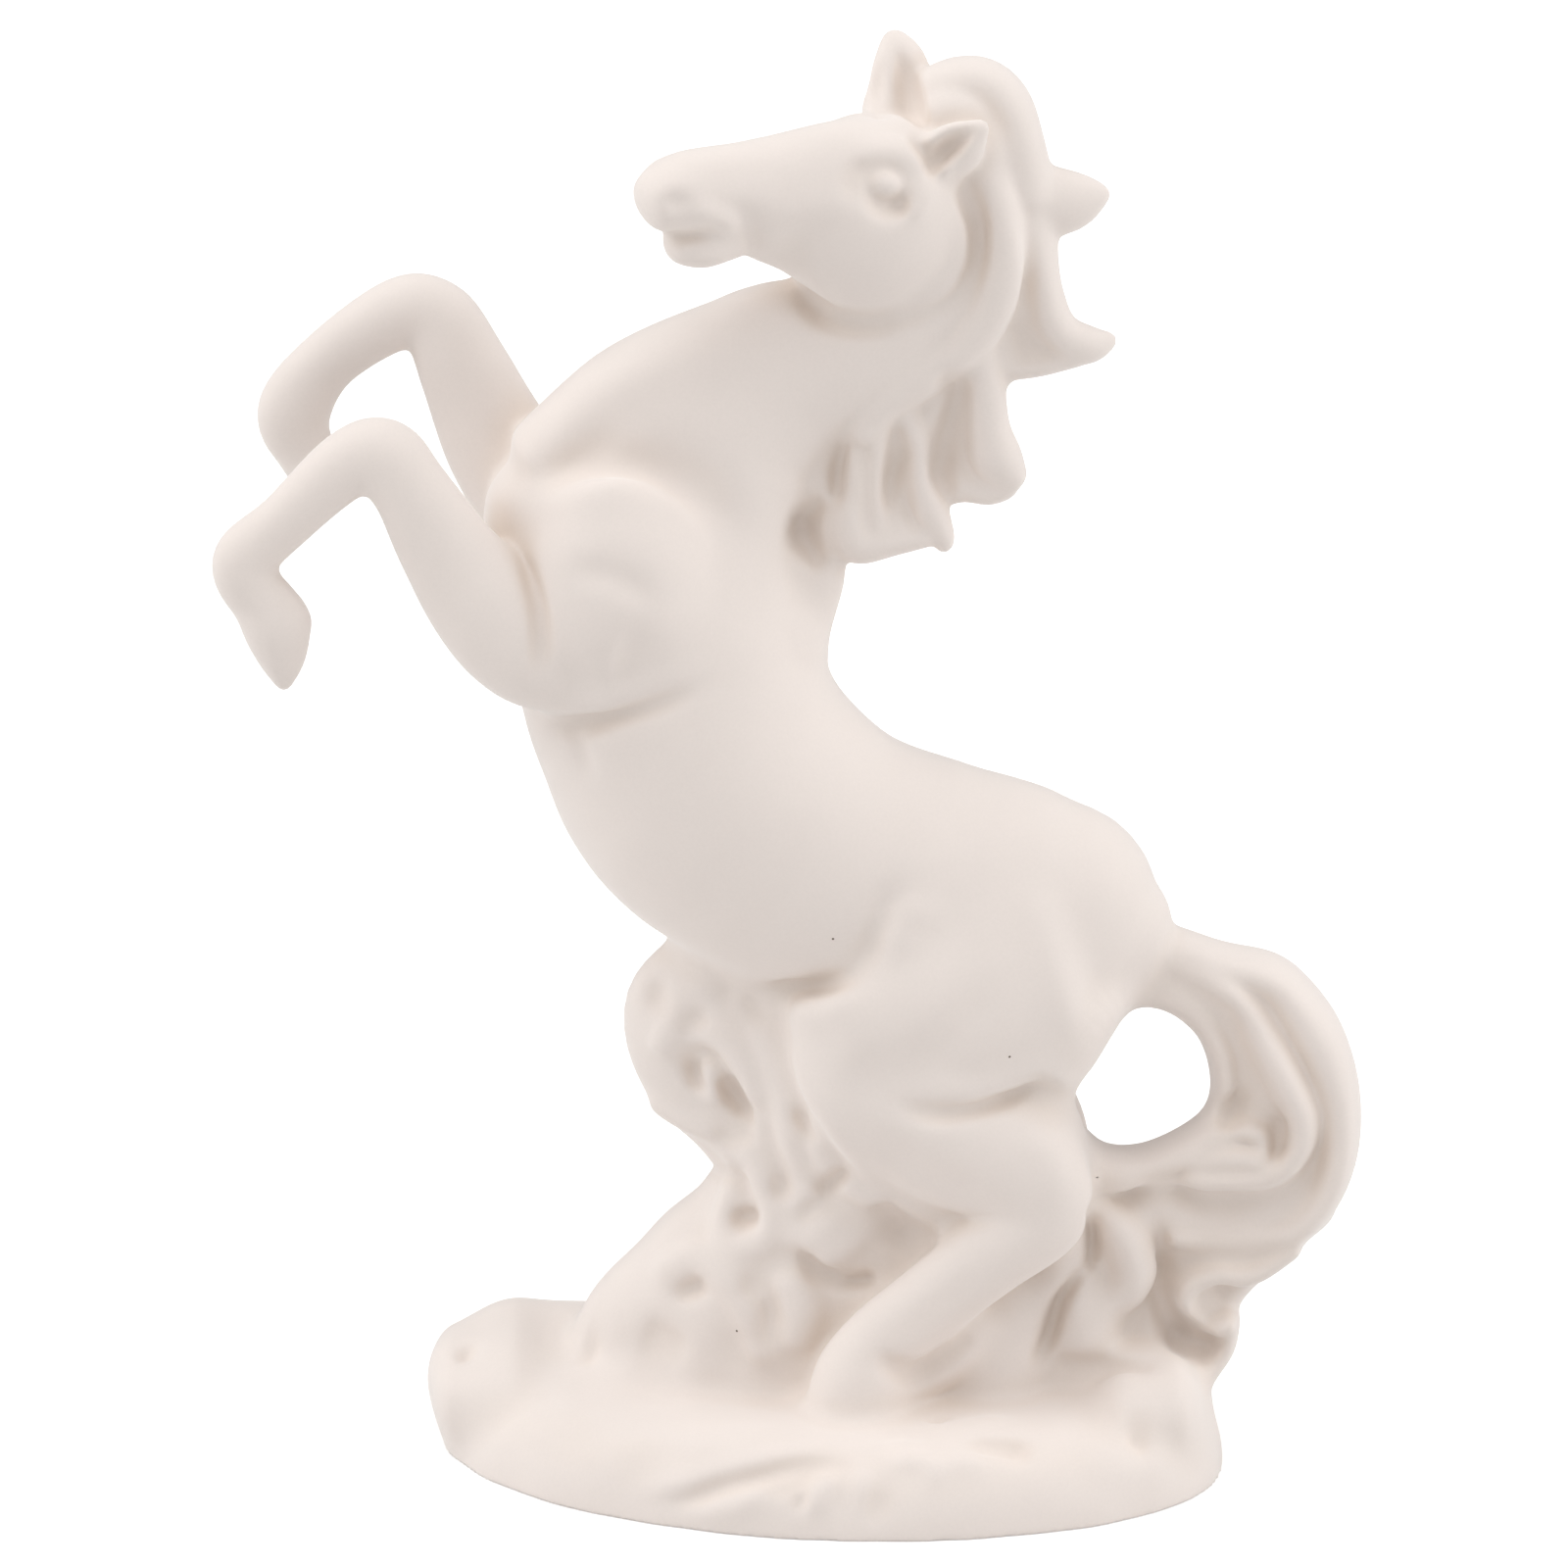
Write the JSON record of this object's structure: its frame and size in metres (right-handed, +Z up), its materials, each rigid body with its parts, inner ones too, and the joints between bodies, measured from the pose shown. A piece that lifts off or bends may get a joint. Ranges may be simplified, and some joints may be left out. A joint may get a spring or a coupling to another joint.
{
  "type": "ceramic horse statue",
  "caption": "Rearing horse figurine in matte white bisque ceramic, with flowing mane and tail, carried by a rock scroll on an oval rocky plinth.",
  "frame": {"origin": "middle of the plinth's flat underside, on solid material", "axes": "+Z up, the horse faces -X, its left side faces -Y"},
  "size_m": [0.1514, 0.0718, 0.1954],
  "materials": {
    "bisque": "matte unglazed bisque, warm off-white, very fine grain"
  },
  "bodies": {
    "root": {"plinth": "bisque", "rock_support": "bisque", "trunk": "bisque", "head": "bisque", "ear_left": "bisque", "ear_right": "bisque", "mane": "bisque", "foreleg_left": "bisque", "foreleg_right": "bisque", "hind_leg_left": "bisque", "hind_leg_right": "bisque", "tail": "bisque"}
  },
  "joints": []
}
